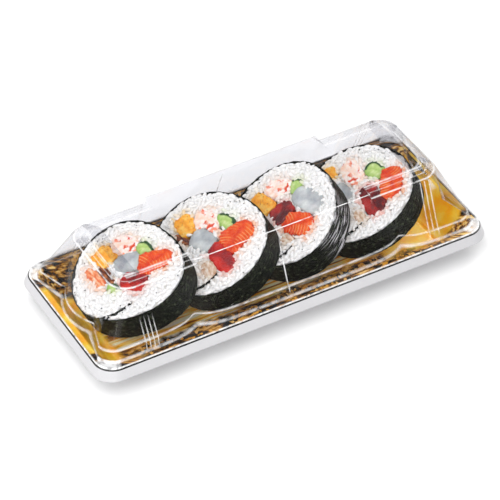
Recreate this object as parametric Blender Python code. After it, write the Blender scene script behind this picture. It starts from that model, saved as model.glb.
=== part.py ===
"""A takeaway sushi tray: four slices of thick rolled sushi that lean on one another in a
printed plastic tray, under a clear lid that clips onto the tray's rim.

Lengths here are in millimetres and are turned to metres as the meshes are made. X runs along
the tray, Y across it and Z up. The origin is under the middle of the tray, on the table.
"""

import math

import bmesh
import bpy
from mathutils import Matrix, Vector

MM = 0.001
GAP = 0.3  # clearance left between pieces that touch on the real thing

# ---------------------------------------------------------------- driving dimensions

RIM_LENGTH = 215.0
RIM_WIDTH = 88.0
RIM_HEIGHT = 15.0
RIM_CORNER = 10.0
SMALLEST_CORNER = 3.0
SKIRT_HEIGHT = 5.0
SKIRT_FLARE = 1.6
SHEET = 0.9  # thickness of the tray's sheet

LIP_WIDTH = 4.0  # flat top of the rim, which carries the lid
RIM_EDGE = 0.5  # small bevel where the rim turns down into the skirt
FOOT_INSET = 13.0  # from the rim's outer edge to the outside of the foot
FOOT_WIDTH = 5.0
FLOOR_HEIGHT = 2.4  # top of the raised floor, inside the foot

LID_SHEET = 0.4
LID_TOP = 49.8
END_STEP = 2.2  # how far the two end panels lie below the middle one
MIDDLE_PANEL = 95.0  # length of the raised middle panel
FLANGE_INSET = 0.5
FLANGE_WIDTH = 4.0
# The dome's levels from the flange up: how far each lies inside the flange's inner edge, its
# height, and the share of the notches' depth that it is pressed in by.
DOME_LEVELS = (
    (0.0, RIM_HEIGHT + GAP + LID_SHEET, 0.3),
    (0.8, 20.0, 1.0),
    (2.0, 21.5, 1.0),
    (5.0, 32.0, 0.3),
    (9.8, LID_TOP - 7.0, 0.0),
    (12.0, LID_TOP - 3.6, 0.0),
)
TOP_PANEL_INSET = 14.0  # from the flange's inner edge to the edge of the flat top
PETAL_DEPTH = 4.0  # how far each notch in the dome's foot is pressed in
PETAL_WIDTH = 7.0
LONG_NOTCHES = (-52.5, 62.0)  # places of the notches along the long sides
SHORT_NOTCHES = (-15.0, 15.0)  # and along the short ones

NORI = 0.5  # thickness of the seaweed sheet, with the film of rice starch on it
ARM_TIP_RADIUS = 19.5  # where the sheet's inner end lies in the rice
ARM_TIP_ANGLE = -24.0
ARM_ROOT_ANGLE = -64.0
WEDGE_ANGLE = 12.0  # from the arm's root to where the rice starts between arm and ring
RICE_PROUD = 0.3  # how far the rice stands out of the cut, past the seaweed's edge
BACK_INSET = 0.2  # and how far rice and fillings stay inside the seaweed's other edge
CUTTER_BACK = 2.0  # how far a cutter reaches out behind the slice, and in front of it
CUTTER_FRONT = 3.0

ARC_STEPS = 5  # segments in each rounded corner
LONG_STEPS = 24  # segments along each long side of the lid
SHORT_STEPS = 10
SLICE_STEPS = 44  # segments round each slice
ARM_STEPS = 6
FILLING_STEPS = 14

# ---------------------------------------------------------------- the four slices
# For each slice: place of the cut face's middle along and across the tray, how steeply the
# face looks up, how far it turns about Z, thickness, radius, and the size and direction of
# the two-lobed and three-lobed parts of its uneven outline.

SLICES = {
    "roll_1": dict(x=-70.4, y=2.7, tilt=65.0, turn=1.0, thick=16.0, radius=28.9,
                   oval=(1.2, 19.0), lobes=(1.0, 38.0)),
    "roll_2": dict(x=-26.0, y=0.8, tilt=62.0, turn=4.0, thick=15.5, radius=29.6,
                   oval=(1.4, 13.0), lobes=(0.6, -60.0)),
    "roll_3": dict(x=14.4, y=-1.2, tilt=59.0, turn=5.0, thick=17.0, radius=28.7,
                   oval=(0.3, 90.0), lobes=(0.6, -6.0)),
    "roll_4": dict(x=56.8, y=-1.6, tilt=63.0, turn=-2.0, thick=14.5, radius=29.0,
                   oval=(0.3, 14.0), lobes=(0.4, 60.0)),
}

# Fillings of each slice, on its cut face: place (u to the slice's right, v up its slope),
# length, width, turn in degrees, taper along the length, and how far the piece stands out
# of the cut. What comes first in a list keeps its shape, and what follows gives way to it.

FILLINGS = {
    "roll_1": {
        "salmon": (6.5, 13.8, 18.0, 11.5, 62.0, -0.25, 0.5),
        "cucumber": (-4.0, 13.4, 9.5, 7.0, 5.0, 0.0, 0.4),
        "squid": (-3.6, 2.6, 14.0, 11.0, 66.0, 0.05, 0.2),
        "tuna": (8.2, -0.8, 14.0, 9.5, 28.0, 0.1, 0.4),
        "shrimp": (-13.2, 7.4, 14.0, 11.0, 28.0, 0.0, 0.6),
        "omelette": (-16.2, -4.0, 11.5, 10.5, 8.0, 0.0, 0.3),
        "mushroom": (-5.6, -8.9, 12.5, 3.8, 4.0, -0.1, 0.2),
        "cucumber_stick": (3.6, -10.4, 7.0, 4.2, 22.0, 0.0, 0.3),
        "crab": (-8.8, -14.0, 15.0, 4.6, 2.0, 0.1, 0.2),
    },
    "roll_2": {
        "salmon": (9.0, 12.4, 17.5, 13.5, 84.0, -0.2, 0.6),
        "cucumber": (-3.4, 13.2, 11.0, 7.0, 8.0, 0.25, 0.3),
        "squid": (-3.6, -1.6, 13.5, 11.0, 18.0, -0.1, 0.2),
        "tuna": (12.0, -0.9, 19.5, 9.5, -6.0, 0.0, 0.4),
        "shrimp": (-10.6, 6.4, 15.5, 12.5, -12.0, 0.0, 0.6),
        "omelette": (-18.0, -2.4, 12.0, 10.0, -8.0, 0.0, 0.4),
        "mushroom": (-12.6, -8.6, 9.5, 2.8, 14.0, 0.0, 0.2),
        "gourd": (12.2, -9.6, 10.0, 7.0, -20.0, 0.0, 0.2),
    },
    "roll_3": {
        "squid": (4.2, 13.4, 18.0, 11.0, 9.0, 0.1, 0.3),
        "cucumber": (-6.8, 14.4, 8.5, 6.0, -58.0, -0.2, 0.3),
        "salmon": (10.6, 1.6, 15.5, 12.0, 28.0, 0.1, 0.6),
        "tuna": (-1.4, 0.2, 12.5, 10.0, 84.0, 0.0, 0.3),
        "shrimp": (-13.4, 8.0, 15.0, 9.5, 52.0, -0.1, 0.6),
        "omelette": (-14.0, -2.8, 13.5, 8.5, 2.0, 0.1, 0.4),
        "gourd": (12.6, -7.8, 7.5, 5.0, 10.0, 0.0, 0.2),
    },
    "roll_4": {
        "salmon": (8.2, 16.0, 18.0, 11.5, -34.0, 0.0, 0.6),
        "cucumber": (-4.6, 14.0, 12.0, 8.5, 14.0, -0.15, 0.3),
        "tuna": (9.4, 3.2, 19.5, 10.5, -8.0, 0.1, 0.4),
        "shrimp": (-12.2, 4.4, 16.5, 10.5, -8.0, 0.0, 0.6),
        "squid": (-6.2, -6.0, 13.0, 8.5, 8.0, 0.0, 0.2),
        "omelette": (-21.2, -4.6, 8.0, 7.0, -10.0, 0.0, 0.4),
        "gourd": (13.2, -7.0, 8.5, 4.6, -6.0, 0.0, 0.2),
    },
}

SQUARENESS = {"omelette": 5.0, "squid": 3.2, "salmon": 3.6, "tuna": 3.2}
ROUND = 2.3  # squareness of every other filling: 2 would be a plain ellipse

# Base colour, roughness and metallic value of each material.
MATERIALS = {
    "tray_sheet": ((0.90, 0.90, 0.91), 0.35, 0.0),
    "lid_sheet": ((0.93, 0.94, 0.95), 0.06, 0.0),
    "nori": ((0.012, 0.018, 0.012), 0.45, 0.0),
    "rice": ((0.82, 0.81, 0.76), 0.40, 0.0),
    "salmon": ((0.85, 0.14, 0.02), 0.30, 0.0),
    "tuna": ((0.50, 0.02, 0.03), 0.30, 0.0),
    "cucumber": ((0.28, 0.48, 0.14), 0.30, 0.0),
    "squid": ((0.58, 0.64, 0.66), 0.25, 0.0),
    "shrimp": ((0.88, 0.66, 0.58), 0.35, 0.0),
    "omelette": ((0.86, 0.45, 0.06), 0.45, 0.0),
    "mushroom": ((0.13, 0.03, 0.015), 0.35, 0.0),
    "crab": ((0.80, 0.30, 0.14), 0.40, 0.0),
    "gourd": ((0.62, 0.46, 0.33), 0.40, 0.0),
}


# ---------------------------------------------------------------- shared tools

def clear_scene():
    for old in list(bpy.data.objects):
        bpy.data.objects.remove(old, do_unlink=True)


def make_material(name):
    """A Principled BSDF with the piece's colour, roughness and metallic value."""
    colour, roughness, metallic = MATERIALS[name]
    material = bpy.data.materials.new(name)
    material.use_nodes = True
    shader = material.node_tree.nodes["Principled BSDF"]
    shader.inputs["Base Color"].default_value = (*colour, 1.0)
    shader.inputs["Roughness"].default_value = roughness
    shader.inputs["Metallic"].default_value = metallic
    return material


def add_object(name, mesh, material_name):
    """Links a mesh to the scene as an object of its own, smooth but for its sharp edges."""
    material = bpy.data.materials.get(material_name) or make_material(material_name)
    mesh.materials.append(material)
    mesh.shade_smooth()
    mesh.set_sharp_from_angle(angle=math.radians(35.0))
    thing = bpy.data.objects.new(name, mesh)
    bpy.context.scene.collection.objects.link(thing)
    return thing


def finish_mesh(bm, name):
    """Turns a bmesh in millimetres into a mesh in metres, with its faces pointing out."""
    bmesh.ops.recalc_face_normals(bm, faces=bm.faces)
    bmesh.ops.scale(bm, vec=(MM, MM, MM), verts=bm.verts)
    mesh = bpy.data.meshes.new(name)
    bm.to_mesh(mesh)
    bm.free()
    return mesh


# ---------------------------------------------------------------- tray and lid

def rounded_rectangle(inset, arc_steps, long_steps, short_steps):
    """The rim's outline moved inwards, as (x, y) points counter-clockwise from the right."""
    half_x = RIM_LENGTH / 2 - inset
    half_y = RIM_WIDTH / 2 - inset
    radius = max(RIM_CORNER - 0.5 * inset, SMALLEST_CORNER)
    points = []
    for quarter in range(4):
        sign_x = 1 if quarter in (0, 3) else -1
        sign_y = 1 if quarter in (0, 1) else -1
        centre = Vector((sign_x * (half_x - radius), sign_y * (half_y - radius)))
        for step in range(arc_steps + 1):
            angle = math.radians(90 * (quarter + step / arc_steps))
            points.append(centre + radius * Vector((math.cos(angle), math.sin(angle))))
        along_x = quarter % 2 == 0
        steps = long_steps if along_x else short_steps
        start = points[-1].copy()
        length = 2 * ((half_x if along_x else half_y) - radius)
        heading = Vector((-sign_x, 0)) if along_x else Vector((0, -sign_y))
        for step in range(1, steps):
            points.append(start + heading * length * step / steps)
    return points


def add_ring(bm, outline, height):
    """Adds a closed loop of vertices. height is one number, or a function of the point."""
    level = height if callable(height) else lambda point: height
    return [bm.verts.new((point.x, point.y, level(point))) for point in outline]


def bridge(bm, rings):
    """Joins each ring to the next with four-sided faces."""
    for lower, upper in zip(rings, rings[1:]):
        for i in range(len(lower)):
            j = (i + 1) % len(lower)
            bm.faces.new((lower[i], lower[j], upper[j], upper[i]))


def close_across(bm, ring, arc_steps, long_steps, short_steps):
    """Closes a ring with strips from the front of the tray to the back.

    A ring starts at the end of the right side, so its mirror image in the X axis runs the
    other way round. The vertices of each short side share one face.
    """
    count = len(ring)
    far_side = 2 * arc_steps + long_steps  # the last vertex before the left side
    for i in range(far_side):
        a, b = ring[i], ring[i + 1]
        c, d = ring[(-short_steps - i - 1) % count], ring[(-short_steps - i) % count]
        face = [a, b, c, d]
        if i == 0:
            face += [ring[k] for k in range(count - short_steps + 1, count)]
        if i == far_side - 1:
            left = [ring[k] for k in range(far_side + 1, far_side + short_steps)]
            face = [a, b] + left + [c, d]
        bm.faces.new(face)


def build_tray():
    """One pressed sheet: skirt, rim, sloping walls, a foot all round and a raised floor.

    The profile is a list of (inset, height), for the sheet's upper side and its underside.
    """
    arc, long_side, short_side = ARC_STEPS, 2, 2
    foot_end = FOOT_INSET + FOOT_WIDTH
    bend = 1.5  # width of the bevels that stand for the round bends of the sheet
    top = [
        (-SKIRT_FLARE, RIM_HEIGHT - SKIRT_HEIGHT),
        (0.0, RIM_HEIGHT - SHEET),
        (RIM_EDGE, RIM_HEIGHT),
        (LIP_WIDTH, RIM_HEIGHT),
        (LIP_WIDTH + 0.8 * bend, RIM_HEIGHT - bend),
        (FOOT_INSET, SHEET + bend),
        (FOOT_INSET + bend, SHEET),
        (foot_end - 0.7 * bend, SHEET),
        (foot_end + 0.7 * bend, FLOOR_HEIGHT),
    ]
    underside = [
        (foot_end + bend, FLOOR_HEIGHT - SHEET),
        (foot_end, 0.0),
        (FOOT_INSET + 0.7 * bend, 0.0),
        (FOOT_INSET - 0.5 * bend, bend),
        (LIP_WIDTH, RIM_HEIGHT - SHEET - 0.8 * bend),
        (LIP_WIDTH - RIM_EDGE, RIM_HEIGHT - SHEET),
        (SHEET, RIM_HEIGHT - SHEET),
        (SHEET - SKIRT_FLARE, RIM_HEIGHT - SKIRT_HEIGHT),
    ]
    bm = bmesh.new()
    rings = [
        add_ring(bm, rounded_rectangle(inset, arc, long_side, short_side), height)
        for inset, height in underside + top
    ]
    bridge(bm, rings)
    bm.faces.new(rings[0])
    bm.faces.new(rings[-1])
    add_object("tray", finish_mesh(bm, "tray"), "tray_sheet")


def notch_depth(point):
    """How far the foot of the dome is pressed in at this place on its outline."""
    near_end = RIM_LENGTH / 2 - abs(point.x) < RIM_WIDTH / 2 - abs(point.y)
    places, place = (SHORT_NOTCHES, point.y) if near_end else (LONG_NOTCHES, point.x)
    nearest = min(abs(place - notch) for notch in places)
    return PETAL_DEPTH * math.exp(-((nearest / PETAL_WIDTH) ** 2))


def petal_outline(inset, share):
    """A rounded rectangle with the notches pressed in by a share of their depth."""
    points = []
    for point in rounded_rectangle(inset, ARC_STEPS, LONG_STEPS, SHORT_STEPS):
        near_end = RIM_LENGTH / 2 - abs(point.x) < RIM_WIDTH / 2 - abs(point.y)
        inwards = Vector((-point.x, 0)) if near_end else Vector((0, -point.y))
        points.append(point + inwards.normalized() * notch_depth(point) * share)
    return points


def dome_rings(bm, shift):
    """One ring of vertices for each level of the dome, moved down and inwards by shift."""
    def top_height(point):
        step = END_STEP if abs(point.x) > MIDDLE_PANEL / 2 else 0.0
        return LID_TOP - step - shift

    foot = FLANGE_INSET + FLANGE_WIDTH + shift
    rings = [
        add_ring(bm, petal_outline(foot + inset, share), height - shift)
        for inset, height, share in DOME_LEVELS
    ]
    rings.append(add_ring(bm, petal_outline(foot + TOP_PANEL_INSET, 0.0), top_height))
    return rings


def build_lid():
    """A thin clear dome with a flat flange, notches round its foot and a raised middle panel."""
    bm = bmesh.new()
    outside = dome_rings(bm, 0.0)
    inside = dome_rings(bm, LID_SHEET)
    edge = [
        add_ring(bm, petal_outline(FLANGE_INSET, 0.0), RIM_HEIGHT + GAP + lift)
        for lift in (0.0, LID_SHEET)
    ]
    bridge(bm, [inside[0], *edge, *outside])
    bridge(bm, inside)
    for ring in (outside[-1], inside[-1]):
        close_across(bm, ring, ARC_STEPS, LONG_STEPS, SHORT_STEPS)
    add_object("lid", finish_mesh(bm, "lid"), "lid_sheet")


# ---------------------------------------------------------------- slices of roll

def slice_radius(shape, angle):
    """Radius of the rice at an angle round the cut face, with the slice's uneven outline."""
    oval, oval_at = shape["oval"]
    lobes, lobes_at = shape["lobes"]
    return (
        shape["radius"]
        + oval * math.cos(2 * (angle - math.radians(oval_at)))
        + lobes * math.cos(3 * (angle - math.radians(lobes_at)))
    )


def polar(radius, angle):
    return Vector((radius * math.cos(angle), radius * math.sin(angle)))


def outer_outline(shape):
    """Outside of the seaweed on the cut face."""
    return [
        polar(slice_radius(shape, angle) + NORI, angle)
        for angle in (2 * math.pi * i / SLICE_STEPS for i in range(SLICE_STEPS))
    ]


def inner_outline(shape, gap):
    """Outline of the space that the seaweed encloses, less a gap.

    The sheet's inner end leaves the ring as an arm that curls in under the fillings, so the
    outline follows the ring from the arm's outer side all the way round to its inner side,
    and then goes in along the arm to its tip and back. The narrow wedge between the arm and
    the ring is filled with seaweed.
    """
    tip, root = math.radians(ARM_TIP_ANGLE), math.radians(ARM_ROOT_ANGLE)
    root_radius = slice_radius(shape, root)
    drop = root_radius - ARM_TIP_RADIUS
    arm_length = (root_radius + ARM_TIP_RADIUS) / 2 * (tip - root)
    lean = math.atan(drop / arm_length)
    half = NORI / 2 + gap

    def beside_arm(angle, side):
        middle = polar(root_radius - drop * (angle - root) / (tip - root), angle)
        return middle + side * polar(half, angle + lean)

    start = root + math.radians(WEDGE_ANGLE) + gap / root_radius
    clear_of_arm = 1.6 * (NORI / 2 + GAP)
    end = root + 2 * math.pi - clear_of_arm / root_radius
    ring_angles = [start + (end - start) * i / SLICE_STEPS for i in range(SLICE_STEPS + 1)]
    ring = [polar(slice_radius(shape, angle) - gap, angle) for angle in ring_angles]
    shares = [i / ARM_STEPS for i in range(ARM_STEPS + 1)]
    inwards = [beside_arm(root + (tip - root) * share, -1) for share in shares[1:]]
    outwards = [beside_arm(tip + (start - tip) * share, 1) for share in shares]
    return ring + inwards + outwards


def filling_outline(kind, row, grow):
    """A rounded block on the cut face: place, length, width, turn and taper, grown a little."""
    u, v, length, width, turn, taper, _ = row
    power = 2 / SQUARENESS.get(kind, ROUND)
    half_length, half_width = length / 2 + grow, width / 2 + grow
    turned = Matrix.Rotation(math.radians(turn), 2)
    points = []
    for i in range(FILLING_STEPS):
        angle = 2 * math.pi * (i + 0.5) / FILLING_STEPS
        cosine, sine = math.cos(angle), math.sin(angle)
        along = math.copysign(abs(cosine) ** power, cosine)
        across = math.copysign(abs(sine) ** power, sine) * (1 + taper * along)
        points.append(Vector((u, v)) + turned @ Vector((half_length * along, half_width * across)))
    return points


def slice_frame(shape):
    """Matrix from the cut face (u, v, outwards) to the tray, with the slice on its floor."""
    tilt, turn = math.radians(shape["tilt"]), math.radians(shape["turn"])
    out = Vector((
        -math.cos(turn) * math.cos(tilt),
        -math.sin(turn) * math.cos(tilt),
        math.sin(tilt),
    ))
    u = Vector((0, 0, 1)).cross(out).normalized()
    v = out.cross(u)
    lowest = min(v.z * point.y for point in outer_outline(shape)) - out.z * shape["thick"]
    height = FLOOR_HEIGHT + GAP - lowest
    frame = Matrix((u, v, out)).transposed().to_4x4()
    frame.translation = Vector((shape["x"], shape["y"], height))
    return frame


def prism(name, frame, outlines, back, front):
    """A solid with a flat outline on the cut face, from back to front along its normal.

    outlines holds one closed outline, or two of equal meaning: an outside and a hole.
    """
    bm = bmesh.new()
    loops = []
    for outline in outlines:
        verts = [bm.verts.new((point.x, point.y, back)) for point in outline]
        loops += [bm.edges.new((a, b)) for a, b in zip(verts, verts[1:] + verts[:1])]
    filled = bmesh.ops.triangle_fill(bm, edges=loops, use_beauty=True)
    faces = [item for item in filled["geom"] if isinstance(item, bmesh.types.BMFace)]
    raised = bmesh.ops.extrude_face_region(bm, geom=faces, use_keep_orig=True)
    moved = [item for item in raised["geom"] if isinstance(item, bmesh.types.BMVert)]
    bmesh.ops.translate(bm, vec=(0, 0, front - back), verts=moved)
    bmesh.ops.transform(bm, matrix=frame, verts=bm.verts)
    return finish_mesh(bm, name)


def add_cutter(name, mesh):
    cutter = bpy.data.objects.new(name, mesh)
    bpy.context.scene.collection.objects.link(cutter)
    cutter.hide_render = True
    cutter.display_type = "WIRE"
    return cutter


def cut(thing, cutter):
    boolean = thing.modifiers.new(cutter.name, "BOOLEAN")
    boolean.operation = "DIFFERENCE"
    boolean.solver = "EXACT"
    boolean.object = cutter


def keep_largest_body(thing):
    """Applies the cuts and drops the crumbs that they leave between the fillings."""
    graph = bpy.context.evaluated_depsgraph_get()
    bm = bmesh.new()
    bm.from_mesh(thing.evaluated_get(graph).to_mesh())
    unseen = set(bm.verts)
    bodies = []
    while unseen:
        body, edge_of_body = set(), {next(iter(unseen))}
        while edge_of_body:
            body |= edge_of_body
            reached = {edge.other_vert(vert) for vert in edge_of_body for edge in vert.link_edges}
            edge_of_body = reached - body
        unseen -= body
        bodies.append(body)
    bodies.sort(key=len)
    crumbs = [vert for body in bodies[:-1] for vert in body]
    bmesh.ops.delete(bm, geom=crumbs, context="VERTS")
    thing.modifiers.clear()
    bm.to_mesh(thing.data)
    bm.free()


def reach_of(row):
    """Half the diagonal of a filling and its gap, to tell which neighbours can touch it."""
    return math.hypot(row[2], row[3]) / 2 + GAP


def build_slice(name, shape):
    """One slice: seaweed, rice, and each filling from the cut face through to the back."""
    frame = slice_frame(shape)
    back = -shape["thick"]
    rows = FILLINGS[name]
    ring = [outer_outline(shape), inner_outline(shape, 0.0)]
    add_object(f"{name}_nori", prism(name, frame, ring, back, 0.0), "nori")
    body = prism(name, frame, [inner_outline(shape, GAP)], back + BACK_INSET, RICE_PROUD)
    rice = add_object(f"{name}_rice", body, "rice")
    cutters = {}
    for kind, row in rows.items():
        colour = "cucumber" if kind.startswith("cucumber") else kind
        outline = [filling_outline(kind, row, 0.0)]
        mesh = prism(kind, frame, outline, back + BACK_INSET, row[6])
        filling = add_object(f"{name}_{kind}", mesh, colour)
        for other, cutter in cutters.items():
            apart = math.hypot(row[0] - rows[other][0], row[1] - rows[other][1])
            if apart < reach_of(row) + reach_of(rows[other]):
                cut(filling, cutter)
        grown = [filling_outline(kind, row, GAP)]
        hollow = prism(kind, frame, grown, back - CUTTER_BACK, CUTTER_FRONT)
        cutters[kind] = add_cutter(f"cutter_{name}_{kind}", hollow)
        cut(rice, cutters[kind])
        keep_largest_body(filling)
    keep_largest_body(rice)


clear_scene()
build_tray()
build_lid()
for slice_name, slice_shape in SLICES.items():
    build_slice(slice_name, slice_shape)
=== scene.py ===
# %% [markdown]
# # Takeaway sushi tray
# A printed plastic tray holds four thick slices of filled roll that lean on one another, under a
# clear lid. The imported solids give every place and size; this file makes what the eye sees: real
# rice grains, wrinkled seaweed, cut fish, a formed clear dome and a gold and black print.

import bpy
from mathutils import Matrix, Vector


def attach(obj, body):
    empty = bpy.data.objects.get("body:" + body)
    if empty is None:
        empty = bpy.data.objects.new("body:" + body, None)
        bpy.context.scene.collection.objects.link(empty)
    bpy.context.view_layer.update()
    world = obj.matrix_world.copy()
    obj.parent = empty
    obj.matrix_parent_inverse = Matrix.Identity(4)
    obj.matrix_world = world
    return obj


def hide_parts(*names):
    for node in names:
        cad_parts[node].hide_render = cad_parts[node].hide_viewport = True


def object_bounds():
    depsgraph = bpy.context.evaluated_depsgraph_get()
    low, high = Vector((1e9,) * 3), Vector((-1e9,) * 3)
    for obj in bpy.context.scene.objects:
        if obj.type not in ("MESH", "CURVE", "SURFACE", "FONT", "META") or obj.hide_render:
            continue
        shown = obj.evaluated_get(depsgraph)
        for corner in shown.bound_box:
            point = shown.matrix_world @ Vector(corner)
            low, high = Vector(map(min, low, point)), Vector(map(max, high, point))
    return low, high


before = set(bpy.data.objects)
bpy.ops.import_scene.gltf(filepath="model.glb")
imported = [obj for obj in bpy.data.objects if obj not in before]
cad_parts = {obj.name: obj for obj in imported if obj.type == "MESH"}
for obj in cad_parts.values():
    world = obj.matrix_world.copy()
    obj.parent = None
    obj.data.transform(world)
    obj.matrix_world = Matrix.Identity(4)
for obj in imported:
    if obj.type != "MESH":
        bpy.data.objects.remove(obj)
cad_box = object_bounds()
print("packed nodes:", len(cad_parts))

# %% Modules and units
import math

import bmesh
import bpy
import numpy as np
from mathutils import Matrix, Vector, bvhtree, geometry, kdtree, noise

MM = 0.001
print("one millimetre is", MM, "in scene units")

# %% [markdown]
# Colours are written as sRGB hex values, as a paint chart gives them, while shaders work in
# linear light. One function turns the one into the other. A second one adds a shader node with
# its settings and links, so that each material below reads as a short list of what it is made of.

# %% Colour and node helpers
def linear(code):
    """Linear RGBA of an sRGB hex value such as "ffcc00"."""
    parts = [int(code[i:i + 2], 16) / 255 for i in (0, 2, 4)]
    return (*[p / 12.92 if p <= 0.04045 else ((p + 0.055) / 1.055) ** 2.4 for p in parts], 1.0)


def add_node(tree, kind, inputs=None, **settings):
    """Adds a shader node. An input is a value, or another node's output to link."""
    node = tree.nodes.new(kind)
    for name, value in settings.items():
        setattr(node, name, value)
    for socket, value in (inputs or {}).items():
        if isinstance(value, bpy.types.NodeSocket):
            tree.links.new(value, node.inputs[socket])
        else:
            node.inputs[socket].default_value = value
    return node


def new_material(name):
    """An empty node material and its tree, with only the output node in it."""
    material = bpy.data.materials.new(name)
    material.use_nodes = True
    material.node_tree.nodes.clear()
    add_node(material.node_tree, "ShaderNodeOutputMaterial")
    return material, material.node_tree


def show(tree, shader):
    tree.links.new(shader, tree.nodes["Material Output"].inputs["Surface"])


def set_stops(ramp, stops):
    """Gives a Color Ramp its (position, hex colour) stops."""
    elements = ramp.color_ramp.elements
    while len(elements) > 1:
        elements.remove(elements[-1])
    elements[0].position = stops[0][0]
    elements[0].color = linear(stops[0][1])
    for position, code in stops[1:]:
        elements.new(position).color = linear(code)
    return ramp.outputs["Color"]


print("salmon in linear light:", [round(c, 3) for c in linear("e9501b")])

# %% [markdown]
# ## Camera and light
# A pack shot on a white table: a long lens from the front left, about forty degrees up, keeps the
# tray's edges nearly parallel. One big soft lamp over the table gives the pale, short shadows and
# the thin glints along the lid's bends. The surroundings stay dim, or the clear lid would mirror
# them as a grey veil over the food.

# %% Camera
CAMERA_AZIMUTH = math.radians(-29.63)
CAMERA_ELEVATION = math.radians(41.10)
CAMERA_DISTANCE = 1434.7 * MM
CAMERA_TARGET = Vector((5.35, 15.7, 0.0)) * MM
LENS = 206.5

camera_data = bpy.data.cameras.new("camera")
camera_data.lens = LENS
camera_data.sensor_width = 36.0
camera = bpy.data.objects.new("camera", camera_data)
bpy.context.scene.collection.objects.link(camera)
towards_camera = Vector((
    math.sin(CAMERA_AZIMUTH) * math.cos(CAMERA_ELEVATION),
    -math.cos(CAMERA_AZIMUTH) * math.cos(CAMERA_ELEVATION),
    math.sin(CAMERA_ELEVATION),
))
camera.location = CAMERA_TARGET + CAMERA_DISTANCE * towards_camera
camera.rotation_euler = (math.pi / 2 - CAMERA_ELEVATION, 0.0, CAMERA_AZIMUTH)
bpy.context.scene.camera = camera
bpy.context.scene.view_settings.view_transform = "Standard"
print("camera at", [round(c, 3) for c in camera.location])

# %% Lamps and surroundings
def add_lamp(name, place, aim, size, power, colour="ffffff"):
    """A square soft box that shines from place towards aim."""
    data = bpy.data.lights.new(name, "AREA")
    data.size = size
    data.energy = power
    data.color = linear(colour)[:3]
    lamp = bpy.data.objects.new(name, data)
    lamp.location = place
    lamp.rotation_euler = (Vector(place) - Vector(aim)).to_track_quat("Z", "Y").to_euler()
    bpy.context.scene.collection.objects.link(lamp)
    return lamp


add_lamp("overhead_softbox", (-0.6, -0.25, 1.0), (0, 0, 0), 1.6, 15.0)
add_lamp("back_window", (1.0, 0.62, 0.95), (0, 0, 0), 0.6, 6.5)
add_lamp("front_fill", (-0.6, -1.2, 0.55), (0, 0, 0), 0.9, 6.0)

world = bpy.data.worlds.new("surroundings")
world.use_nodes = True
world.node_tree.nodes["Background"].inputs["Color"].default_value = linear("ffffff")
world.node_tree.nodes["Background"].inputs["Strength"].default_value = 0.6
bpy.context.scene.world = world

# %% Table
paper, tree = new_material("seamless_white_paper")
show(tree, add_node(tree, "ShaderNodeBsdfPrincipled", {
    "Base Color": linear("f6f6f6"), "Roughness": 0.9, "Specular IOR Level": 0.1,
}).outputs[0])

bm = bmesh.new()
bmesh.ops.create_grid(bm, x_segments=1, y_segments=1, size=3.0)
floor_mesh = bpy.data.meshes.new("table")
bm.to_mesh(floor_mesh)
bm.free()
floor_mesh.materials.append(paper)
floor = bpy.data.objects.new("table", floor_mesh)
bpy.context.scene.collection.objects.link(floor)
print("table is", floor.dimensions.x, "m wide")

# %% [markdown]
# ## How pieces are handed over
# Every finished piece sits at the origin with its place in its mesh, rides on the one body that
# this pack has, takes its finishes, and hides the imported nodes that it stands for.

# %% Hand-over helper
def hand_over(name, bm_or_mesh, materials, nodes=()):
    """Makes an object from a bmesh or mesh in metres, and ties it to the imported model."""
    if isinstance(bm_or_mesh, bpy.types.Mesh):
        mesh = bm_or_mesh
    else:
        mesh = bpy.data.meshes.new(name)
        bm_or_mesh.to_mesh(mesh)
        bm_or_mesh.free()
    for material in materials:
        mesh.materials.append(material)
    mesh.shade_smooth()
    piece = bpy.data.objects.new(name, mesh)
    bpy.context.scene.collection.objects.link(piece)
    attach(piece, "root")
    if nodes:
        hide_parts(*nodes)
    return piece


def triangles(piece):
    return sum(len(face.vertices) - 2 for face in piece.data.polygons)


# %% [markdown]
# ## Reading the slices
# Each slice is a thick disc that leans back on the next one. Its packed rice tells which way the
# cut faces: that is the direction in which most of its surface looks up. The seaweed's outside on
# that plane gives the slice's middle, and a few waves fitted to it give its radius all round.

# %% Measure a slice
HARMONICS = 4


def solid_points(node):
    """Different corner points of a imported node, in metres."""
    points = np.array([v.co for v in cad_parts[node].data.vertices])
    return np.unique(np.round(points, 6), axis=0)


def face_direction(node):
    """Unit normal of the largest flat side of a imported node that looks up."""
    sums = {}
    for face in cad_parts[node].data.polygons:
        key = tuple(round(c, 2) for c in face.normal)
        sums[key] = sums.get(key, Vector()) + face.normal * face.area
    return max((v for v in sums.values() if v.z > 0), key=lambda v: v.length).normalized()


def measure_slice(name):
    """Place, thickness and radius of a slice. u runs to its right, v up its slope, w out."""
    out = face_direction(name + "_rice")
    u = Vector((0, 0, 1)).cross(out).normalized()
    v = out.cross(u)
    axes = Matrix((u, v, out))
    local = solid_points(name + "_nori") @ np.array(axes).T
    front, back = local[:, 2].max(), local[:, 2].min()
    flat = local[local[:, 2] > front - 0.05 * MM][:, :2]
    outer = flat[geometry.convex_hull_2d([Vector(p) for p in flat])]
    middle = outer.mean(axis=0)
    angles = np.arctan2(*(outer - middle).T[::-1])
    radii = np.linalg.norm(outer - middle, axis=1)
    waves = [np.ones_like(angles)]
    for k in range(1, HARMONICS + 1):
        waves += [np.cos(k * angles), np.sin(k * angles)]
    weights = np.linalg.lstsq(np.array(waves).T, radii, rcond=None)[0]
    matrix = axes.transposed().to_4x4()
    matrix.translation = axes.transposed() @ Vector((*middle, front))
    return {
        "name": name, "matrix": matrix, "thick": (front - back) / MM, "waves": weights / MM,
    }


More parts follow.
